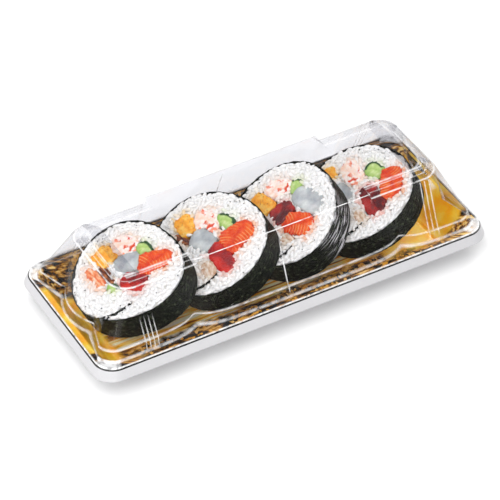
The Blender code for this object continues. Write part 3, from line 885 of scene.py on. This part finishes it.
bm = bmesh.new()
layer = bm.verts.layers.float.new("bend")
levels = [lid_ring(level) for level in LID_LEVELS]
rows = stack(bm, [[point for point, _ in level] for level in levels])
for row, level in zip(rows, levels):
    for vert, (_, white) in zip(row, level):
        vert[layer] = white
close_across(bm, rows[-1])
bmesh.ops.recalc_face_normals(bm, faces=bm.faces)
if sum(face.normal.z * face.calc_area() for face in bm.faces) < 0:
    bmesh.ops.reverse_faces(bm, faces=bm.faces)
bmesh.ops.scale(bm, vec=(MM, MM, MM), verts=bm.verts)
lid = hand_over("clear_lid", bm, [lid_sheet], ["lid"])
lid.data.set_sharp_from_angle(angle=math.radians(30.0))
for polygon in lid.data.polygons:
    polygon.use_smooth = abs(polygon.normal.z) < 0.999
shell = lid.modifiers.new("sheet_thickness", "SOLIDIFY")
shell.thickness = 0.25 * MM
shell.offset = -1.0
print("lid", triangles(lid), "triangles before its thickness")

# %% [markdown]
# ## Cut fish and vegetables
# A knife leaves each filling with a cut face that is nearly flat but torn at its rim. The packed
# solids are the right size but their sides are straight, so each is copied, merged and voxel
# remeshed into an even skin of small quads, and noise then pushes the rim in and out and the
# face up and down. Attributes record what the finishes need: millimetres along and across the
# piece, how near the rim is, and where a cucumber still has its skin.

# %% Filling tools
def welded(node, piece):
    """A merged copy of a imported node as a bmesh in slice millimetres."""
    bm = bmesh.new()
    bm.from_mesh(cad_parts[node].data)
    bmesh.ops.remove_doubles(bm, verts=bm.verts, dist=0.001 * MM)
    bmesh.ops.transform(bm, matrix=piece["matrix"].inverted(), verts=bm.verts)
    bmesh.ops.scale(bm, vec=(1 / MM, 1 / MM, 1 / MM), verts=bm.verts)
    return bm


def remesh(bm, voxel):
    """Turns a closed bmesh into an even skin of quads of about voxel millimetres."""
    mesh = bpy.data.meshes.new("rough")
    bm.to_mesh(mesh)
    bm.free()
    rough = bpy.data.objects.new("rough", mesh)
    bpy.context.scene.collection.objects.link(rough)
    voxels = rough.modifiers.new("voxels", "REMESH")
    voxels.mode = "VOXEL"
    voxels.voxel_size = voxel
    graph = bpy.context.evaluated_depsgraph_get()
    even = bmesh.new()
    even.from_mesh(rough.evaluated_get(graph).to_mesh())
    bpy.data.objects.remove(rough)
    bpy.data.meshes.remove(mesh)
    even.normal_update()
    return even


def push(bm, seed, grow, rim, rim_size, face, face_size):
    """Moves the skin along its normals: its sides by grow and rim noise, its cuts by face noise."""
    moves = []
    for vert in bm.verts:
        flat = abs(vert.normal.z)
        x, y, z = vert.co
        side = grow + rim * wobble((x, y, 0.3 * z), rim_size, seed)
        side += 0.4 * rim * wobble((x, y, 0.3 * z), 0.4 * rim_size, seed + 1)
        up = face * wobble(vert.co, face_size, seed + 2)
        moves.append(vert.normal * ((1 - flat) * side + flat * up))
    for vert, move in zip(bm.verts, moves):
        vert.co += move


def mark(bm, piece, skin_side=None):
    """Stores the piece's own millimetres, nearness of the rim, and cucumber skin."""
    place = bm.verts.layers.float_vector.new("piece_mm")
    rim = bm.verts.layers.float.new("rim")
    skin = bm.verts.layers.float.new("skin")
    flats = np.array([v.co[:2] for v in bm.verts if v.normal.z > 0.7])
    middle = flats.mean(axis=0)
    directions = np.linalg.eigh(np.cov((flats - middle).T))[1]
    long_way = directions[:, 1] * np.sign(directions[0, 1] + 1e-9)
    sides = [v for v in bm.verts if abs(v.normal.z) < 0.5]
    tree = kdtree.KDTree(len(sides))
    for i, vert in enumerate(sides):
        tree.insert((vert.co.x, vert.co.y, 0), i)
    tree.balance()
    for vert in bm.verts:
        x, y = vert.co.x - middle[0], vert.co.y - middle[1]
        along = x * long_way[0] + y * long_way[1]
        across = -x * long_way[1] + y * long_way[0]
        vert[place] = (along, across, vert.co.z)
        _, index, distance = tree.find((vert.co.x, vert.co.y, 0))
        vert[rim] = max(0.0, 1.0 - distance / 2.5)
        if skin_side is not None:
            normal = sides[index].normal
            facing = normal.x * math.cos(skin_side) + normal.y * math.sin(skin_side)
            vert[skin] = max(0.0, 1.0 - distance / 2.4) * min(max(3 * facing, 0.0), 1.0)


# %% [markdown]
# Raw fish, egg and vegetables are all wet and let light in a little way. So their finishes
# share one build: a colour, a relief, some light scattered under the skin, and a thin wet coat.
# They differ in what draws the colour: fat lines in salmon lie about 1.7 mm apart, fibres in
# tuna run along the piece, egg has pores of about a millimetre.

# %% Wet food finish
def wet_food(tree, colour, relief, depth_mm, roughness, scatter, coat=0.3):
    bump = add_node(tree, "ShaderNodeBump", {
        "Height": relief, "Strength": 0.9, "Distance": depth_mm * MM,
    })
    show(tree, add_node(tree, "ShaderNodeBsdfPrincipled", {
        "Base Color": colour, "Roughness": roughness, "Normal": bump.outputs[0],
        "Subsurface Weight": scatter, "Subsurface Radius": (1.0, 0.45, 0.3),
        "Subsurface Scale": 1.2 * MM, "IOR": 1.4, "Coat Weight": coat, "Coat Roughness": 0.15,
    }).outputs[0])


def tone_ramp(tree, value, stops):
    return set_stops(add_node(tree, "ShaderNodeValToRGB", {"Fac": value}), stops)


def rim_share(tree, name="rim"):
    return add_node(tree, "ShaderNodeAttribute", attribute_name=name).outputs["Fac"]


def make_salmon():
    material, tree = new_material("raw_salmon")
    place = pattern_mm(tree)
    flesh = tone_ramp(tree, noise_at(tree, place, 0.22), [
        (0.35, "ce2e00"), (0.5, "e04200"), (0.66, "ea5e0c")])
    moved = add_node(tree, "ShaderNodeMapping", {"Vector": place, "Location": (13.0, 5.0, 0.0)})
    lines = add_node(tree, "ShaderNodeTexWave", {
        "Vector": moved.outputs[0], "Scale": 0.2, "Distortion": 2.2, "Detail": 2.0,
        "Detail Scale": 0.5,
    }, wave_type="RINGS", rings_direction="SPHERICAL").outputs["Fac"]
    fat = smooth_step(tree, lines, 0.62, 1.0)
    patchy = smooth_step(tree, noise_at(tree, place, 0.12), 0.4, 0.62)
    fat = calculate(tree, "MULTIPLY", calculate(tree, "MULTIPLY", fat, patchy), 0.75)
    colour = blend_colours(tree, fat, flesh, linear("f2a262"))
    fibres = noise_at(tree, place, 1.3, (0.5, 1.0, 0.4))
    relief = calculate(tree, "ADD", fibres, calculate(tree, "MULTIPLY", fat, 0.5))
    wet_food(tree, colour, relief, 0.5, 0.34, 0.15, coat=0.15)
    return material


def make_tuna(name, stops):
    material, tree = new_material(name)
    place = pattern_mm(tree)
    flesh = tone_ramp(tree, noise_at(tree, place, 0.09), stops)
    fibres = noise_at(tree, place, 0.9, (0.25, 1.0, 0.4))
    colour = blend_colours(tree, smooth_step(tree, fibres, 0.54, 0.8), flesh, linear("cc342a"))
    wet_food(tree, colour, fibres, 0.5, 0.3, 0.1, coat=0.15)
    return material


def make_cucumber():
    material, tree = new_material("cut_cucumber")
    place = pattern_mm(tree)
    flesh = tone_ramp(tree, noise_at(tree, place, 0.35), [
        (0.35, "9cc05c"), (0.55, "bdd484"), (0.7, "d6e2a8")])
    under = blend_colours(tree, calculate(tree, "MULTIPLY", rim_share(tree), 0.6), flesh,
                          linear("7fa648"))
    skin = smooth_step(tree, rim_share(tree, "skin"), 0.15, 0.5)
    colour = blend_colours(tree, skin, under, linear("1f4a1c"))
    wet_food(tree, colour, noise_at(tree, place, 1.2), 0.3, 0.28, 0.2)
    return material


def make_squid():
    material, tree = new_material("raw_squid")
    place = pattern_mm(tree)
    colour = tone_ramp(tree, noise_at(tree, place, 0.12), [
        (0.35, "9ea2a6"), (0.5, "b9bdbf"), (0.66, "d6dad8")])
    edge = calculate(tree, "MULTIPLY", rim_share(tree), 0.4)
    colour = blend_colours(tree, edge, colour, linear("989b90"))
    wet_food(tree, colour, noise_at(tree, place, 0.5), 0.08, 0.24, 0.35)
    return material


def make_shrimp():
    material, tree = new_material("boiled_shrimp")
    place = pattern_mm(tree)
    colour = tone_ramp(tree, noise_at(tree, place, 0.25), [
        (0.35, "f4cbb2"), (0.5, "f8e4d8"), (0.65, "f6efea")])
    bands = noise_at(tree, place, 0.3, (0.6, 1.2, 0.4), detail=5.0, rough=0.65)
    blush = smooth_step(tree, bands, 0.53, 0.62)
    colour = blend_colours(tree, calculate(tree, "MULTIPLY", blush, 0.85), colour, linear("ee7548"))
    spots = smooth_step(tree, noise_at(tree, place, 0.3, detail=2.0), 0.62, 0.67)
    colour = blend_colours(tree, spots, colour, linear("d8451c"))
    wet_food(tree, colour, bands, 0.6, 0.36, 0.3)
    return material


def make_omelette():
    material, tree = new_material("rolled_omelette")
    place = pattern_mm(tree)
    colour = tone_ramp(tree, noise_at(tree, place, 0.28), [
        (0.34, "ee921e"), (0.5, "fcae34"), (0.66, "fecc64")])
    cells = add_node(tree, "ShaderNodeTexVoronoi", {"Vector": place, "Scale": 0.8})
    pores = smooth_step(tree, cells.outputs["Distance"], 0.12, 0.3)
    few = smooth_step(tree, noise_at(tree, place, 0.4), 0.5, 0.6)
    pits = calculate(tree, "MAXIMUM", pores, few)
    colour = blend_colours(tree, pits, linear("c8801e"), colour)
    wet_food(tree, colour, calculate(tree, "ADD", pits, noise_at(tree, place, 1.4)), 0.4, 0.45, 0.15,
             coat=0.1)
    return material


def make_streaky(name, stops, roughness, scatter, stretch):
    """Simmered mushroom, shredded crab and gourd strip: streaks along the piece."""
    material, tree = new_material(name)
    place = pattern_mm(tree)
    streaks = noise_at(tree, place, 0.5, stretch, detail=5.0)
    colour = tone_ramp(tree, streaks, stops)
    wet_food(tree, colour, streaks, 0.6, roughness, scatter)
    return material


fillings = {
    "salmon": make_salmon(),
    "tuna": make_tuna("raw_lean_tuna", [(0.4, "86121a"), (0.5, "ac1616"), (0.6, "cc2416")]),
    "dark_tuna": make_tuna("raw_dark_tuna", [(0.4, "4c0a12"), (0.5, "740f14"), (0.6, "a81c18")]),
    "cucumber": make_cucumber(),
    "squid": make_squid(),
    "shrimp": make_shrimp(),
    "omelette": make_omelette(),
    "mushroom": make_streaky("simmered_mushroom", [
        (0.36, "2c0f06"), (0.5, "6a2c12"), (0.64, "b0662e")], 0.28, 0.05, (0.4, 1.2, 0.3)),
    "crab": make_streaky("shredded_crab", [
        (0.4, "d85a1c"), (0.52, "f09a62"), (0.66, "f8dcc6")], 0.4, 0.25, (0.35, 1.4, 0.3)),
    "gourd": make_streaky("simmered_gourd_strip", [
        (0.36, "b98a68"), (0.5, "d9bfa6"), (0.64, "ebe0d4")], 0.35, 0.3, (0.6, 1.2, 0.3)),
}
print("filling finishes:", len(fillings))

# %% Cut fillings
VOXEL_MM = 0.55
# kind: growth, rim noise and its size, face noise and its size, all in millimetres
TORN = {
    "salmon": (0.3, 1.6, 2.2, 0.45, 3.0),
    "tuna": (0.5, 0.9, 2.6, 0.35, 3.0),
    "cucumber": (0.4, 0.25, 4.0, 0.2, 4.0),
    "squid": (0.6, 0.4, 6.0, 0.2, 6.0),
    "shrimp": (0.5, 1.2, 2.8, 0.6, 2.6),
    "omelette": (0.4, 0.8, 3.0, 0.4, 2.6),
    "mushroom": (0.6, 0.7, 2.5, 0.4, 2.0),
    "crab": (0.8, 1.2, 2.0, 0.6, 1.6),
    "gourd": (0.6, 0.7, 3.0, 0.4, 2.5),
}
# In which direction of the slice a cucumber still has its dark skin, in degrees.
SKIN = {"roll_1": 100.0, "roll_2": 95.0, "roll_3": 120.0, "roll_4": 160.0,
        "roll_1_stick": 60.0}
DARK_TUNA = ("roll_3", "roll_4")
filling_points = {piece["name"]: [] for piece in slices}
for seed, piece in enumerate(slices):
    total = 0
    for node in sorted(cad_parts):
        kind = node.removeprefix(piece["name"] + "_")
        if kind == node or kind in ("nori", "rice"):
            continue
        look = kind.split("_")[0]
        bm = remesh(welded(node, piece), VOXEL_MM)
        push(bm, 7.3 * seed + len(kind), *TORN[look])
        bm.normal_update()
        side = SKIN[piece["name"] + ("_stick" if kind.endswith("stick") else "")]
        mark(bm, piece, math.radians(side) if look == "cucumber" else None)
        filling_points[piece["name"]] += [(v.co.copy(), look) for v in bm.verts]
        tone = "dark_tuna" if look == "tuna" and piece["name"] in DARK_TUNA else look
        cut = hand_over(node + "_cut", to_frame(bm, piece), [fillings[tone]], [node])
        total += triangles(cut)
    print(piece["name"], "fillings:", total, "triangles")

# %% [markdown]
# ## Rice
# Cooked short grain rice is white, plump and slightly see-through, about 5.5 by 2.7 mm a grain.
# Pressed into a roll it keeps every grain's shape, and the gaps between grains are what makes it
# read as rice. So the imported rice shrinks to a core, and real grains lie over both cut faces in
# layers: each is a small sphere stretched to a grain and turned at random, where no filling and
# no seaweed is. Grains beside the fish take some of its colour.

# %% Rice finish
def make_rice():
    material, tree = new_material("steamed_short_grain_rice")
    place, x, y, z = object_mm(tree)
    tint = add_node(tree, "ShaderNodeAttribute", attribute_name="grain_tint").outputs["Color"]
    fine = noise_at(tree, place, 1.1)
    milk = tone_ramp(tree, fine, [(0.35, "eeece8"), (0.6, "faf9f6")])
    colour = add_node(tree, "ShaderNodeMix", {0: 1.0, 6: milk, 7: tint}, data_type="RGBA",
                      blend_type="MULTIPLY").outputs[2]
    bump = add_node(tree, "ShaderNodeBump", {
        "Height": fine, "Strength": 0.4, "Distance": 0.15 * MM,
    })
    show(tree, add_node(tree, "ShaderNodeBsdfPrincipled", {
        "Base Color": colour, "Roughness": 0.36, "Normal": bump.outputs[0],
        "Subsurface Weight": 0.25, "Subsurface Radius": (1.0, 0.9, 0.8),
        "Subsurface Scale": 0.8 * MM, "IOR": 1.42,
    }).outputs[0])
    return material


rice_material = make_rice()

# %% Rice cores and grains
GRAIN_LONG, GRAIN_WIDE, GRAIN_THICK = 4.3, 2.3, 2.0
LAYERS = (
    # depth of the grains' middles below the cut, least distance between them, most tilt
    (1.9, 1.6, 14.0),
    (1.25, 1.5, 24.0),
    (0.6, 1.65, 15.0),
)
CORE_DEPTH = 1.5
STAIN = {"salmon": "f7b48c", "tuna": "f0b4a8", "cucumber": "e6ecc8", "squid": "eef0f0",
         "shrimp": "f8dccb", "omelette": "f6d49a", "mushroom": "e6c8a8", "crab": "f6c8ac",
         "gourd": "ecdac8"}
stains = {kind: Vector(linear(code)[:3]) for kind, code in STAIN.items()}


def arm_point(piece, share):
    """A point on the seaweed's inner arm, from its root (0) to its tip (1)."""
    angle = ARM_ROOT + (ARM_TIP - ARM_ROOT) * share
    root = float(radius_at(piece, ARM_ROOT)) - SHEET_MM
    radius = root + (ARM_TIP_RADIUS - root) * share
    return radius * math.cos(angle), radius * math.sin(angle)


def grow_grains(piece, chance):
    """Where the loose grains of a slice lie, and how each is tinted."""
    near = kdtree.KDTree(len(filling_points[piece["name"]]))
    for i, (point, _) in enumerate(filling_points[piece["name"]]):
        near.insert((point.x, point.y, 0.0), i)
    near.balance()
    arm = [arm_point(piece, i / 24) for i in range(25)]
    outlines = bvhtree.BVHTree.FromPolygons(*piece["solid"])
    matrices, tints = [], []
    for top, sign in ((0.0, 1.0), (-piece["thick"], -1.0)):
        for depth, apart, most_tilt in LAYERS:
            grid = {}
            for _ in range(5600):
                x, y = chance.uniform(-32, 32, 2)
                heading, pitch = chance.uniform(0, math.pi), chance.normal(0, most_tilt)
                size = chance.uniform(0.88, 1.1)
                radius, angle = math.hypot(x, y), math.atan2(y, x)
                limit = float(radius_at(piece, angle)) - 1.35
                if radius > limit:
                    continue
                if radius > limit - 2.5 and chance.uniform() < 0.75:
                    heading = angle + math.pi / 2 + chance.normal(0, 0.25)
                cell = (int(x // apart), int(y // apart))
                around = [grid.get((cell[0] + i, cell[1] + j)) for i in (-1, 0, 1)
                          for j in (-1, 0, 1)]
                if any(p and math.hypot(p[0] - x, p[1] - y) < apart for p in around):
                    continue
                half = 0.5 * GRAIN_LONG * size
                tips = [(x + s * half * math.cos(heading), y + s * half * math.sin(heading))
                        for s in (-1, 1)]
                if any(math.hypot(*tip) > float(radius_at(piece, math.atan2(tip[1], tip[0]))) - 0.5
                       for tip in tips):
                    continue
                if min(math.hypot(x - ax, y - ay) for ax, ay in arm) < 1.05:
                    continue
                kinds = {filling_points[piece["name"]][index][1]
                         for _, index, _ in near.find_range((x, y, 0.0), 1.5)}
                if len(kinds) > 1:
                    continue
                start = Vector((x, y, top + sign * 6.0))
                if outlines.ray_cast(start, Vector((0, 0, -sign)), 9.0)[0]:
                    continue
                grid[cell] = (x, y)
                lift = top - sign * (depth + 0.25 * chance.uniform(-1, 1))
                matrix = Matrix.Translation((x, y, lift))
                matrix = matrix @ Matrix.Rotation(heading, 4, "Z")
                matrix = matrix @ Matrix.Rotation(math.radians(pitch), 4, "Y")
                matrix = matrix @ Matrix.Rotation(chance.uniform(0, 6.28), 4, "X")
                matrix = matrix @ Matrix.Diagonal((half, 0.5 * GRAIN_WIDE * size,
                                                   0.5 * GRAIN_THICK * size, 1.0))
                matrix = matrix @ Matrix.Rotation(math.pi / 2, 4, "Y")
                matrices.append(np.array(matrix))
                point, index, _ = near.find((x, y, 0.0))
                distance = math.hypot(point.x - x, point.y - y)
                share = 0.9 * math.exp(-max(distance - 0.8, 0.0) / 1.3) * chance.uniform(0.1, 1)
                kind = filling_points[piece["name"]][index][1]
                tints.append(Vector((1, 1, 1)).lerp(stains[kind], share) * chance.uniform(0.93, 1.0))
    return matrices, tints


def copy_grains(name, matrices, tints):
    """One mesh with a copy of the template grain at every matrix, tinted."""
    template = bmesh.new()
    bmesh.ops.create_uvsphere(template, u_segments=7, v_segments=5, radius=1.0)
    template.verts.index_update()
    points = np.array([(*v.co, 1.0) for v in template.verts])
    faces = [[v.index for v in face.verts] for face in template.faces]
    template.free()
    placed = np.einsum("nij,pj->npi", np.array(matrices), points)[:, :, :3].reshape(-1, 3)
    every = [[i + n * len(points) for i in face] for n in range(len(matrices)) for face in faces]
    mesh = bpy.data.meshes.new(name)
    mesh.from_pydata(placed, [], every)
    layer = mesh.attributes.new("grain_tint", "FLOAT_VECTOR", "POINT")
    layer.data.foreach_set("vector", np.repeat(np.array(tints), len(points), axis=0).ravel())
    return mesh


for seed, piece in enumerate(slices):
    name = piece["name"]
    verts, faces = [], []
    for node in sorted(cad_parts):
        if node.startswith(name + "_") and not node.endswith(("_nori", "_rice")):
            bm = welded(node, piece)
            start = len(verts)
            bm.verts.index_update()
            verts += [v.co.copy() for v in bm.verts]
            faces += [[start + v.index for v in f.verts] for f in bm.faces]
            bm.free()
    piece["solid"] = (verts, faces)
    core = remesh(welded(name + "_rice", piece), 0.8)
    tints = core.verts.layers.float_vector.new("grain_tint")
    for vert in core.verts:
        flat = vert.normal.z
        if abs(flat) > 0.4:
            vert.co.z -= math.copysign(CORE_DEPTH + 0.4 * wobble(vert.co, 2.2, seed), flat)
        else:
            vert.co -= 0.9 * vert.normal
        vert[tints] = (0.95, 0.93, 0.9)
    hand_over(name + "_rice_core", to_frame(core, piece), [rice_material],
              [name + "_rice"])
    matrices, tints = grow_grains(piece, np.random.RandomState(41 + seed))
    place = np.array(piece["matrix"] @ Matrix.Scale(MM, 4))
    mesh = copy_grains(name + "_rice_grains", place @ np.array(matrices), tints)
    grains = hand_over(mesh.name, mesh, [rice_material], [name + "_rice"])
    print(name, len(matrices), "grains,", triangles(grains), "triangles")
